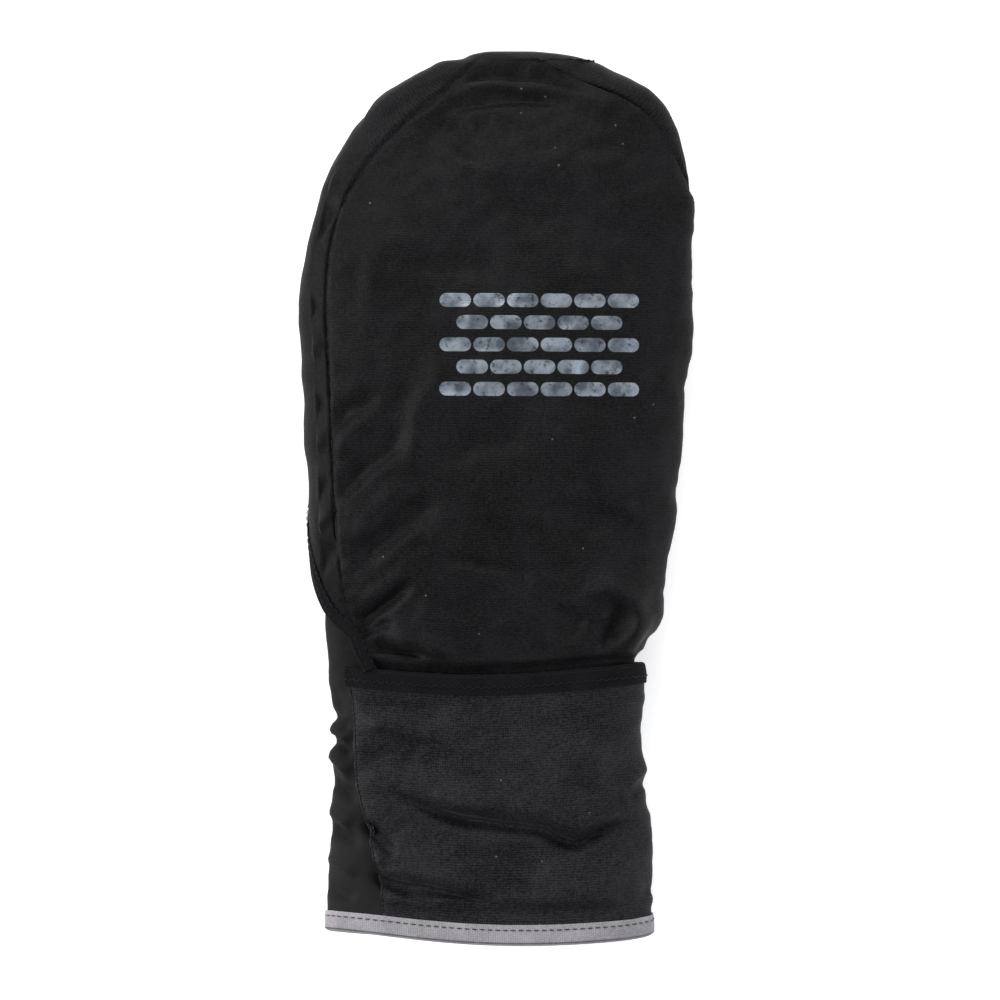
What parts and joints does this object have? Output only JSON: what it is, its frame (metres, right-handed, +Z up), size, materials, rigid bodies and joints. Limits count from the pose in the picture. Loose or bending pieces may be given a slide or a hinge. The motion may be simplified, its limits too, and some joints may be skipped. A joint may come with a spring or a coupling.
{
  "type": "ski touring glove with a pull-over mitten hood, right hand",
  "caption": "Right-hand ski touring glove lying palm down, its mitten hood drawn out of a pocket on the back of the cuff and pulled over the fingers.",
  "frame": {"origin": "centre of the bounding box, on the surface that the glove lies on", "axes": "+Y from the hem towards the fingertips, +Z up from the surface through the back of the hand, +X from the thumb side to the little finger's side"},
  "size_m": [0.118, 0.2686, 0.0322],
  "materials": {
    "black_nylon": "matt woven shell cloth",
    "black_tape": "matt elastic binding",
    "grey_tape": "matt elastic binding",
    "black_softshell": "matt knitted softshell"
  },
  "bodies": {
    "root": {"hood_back": "black_nylon", "hood_palm": "black_nylon", "cuff_pocket": "black_nylon", "hood_tape": "black_tape", "pocket_tape": "black_tape", "hem_tape": "grey_tape", "glove_body": "black_softshell", "finger_index": "black_softshell", "finger_middle": "black_softshell", "finger_ring": "black_softshell", "finger_little": "black_softshell", "thumb": "black_softshell"}
  },
  "joints": []
}
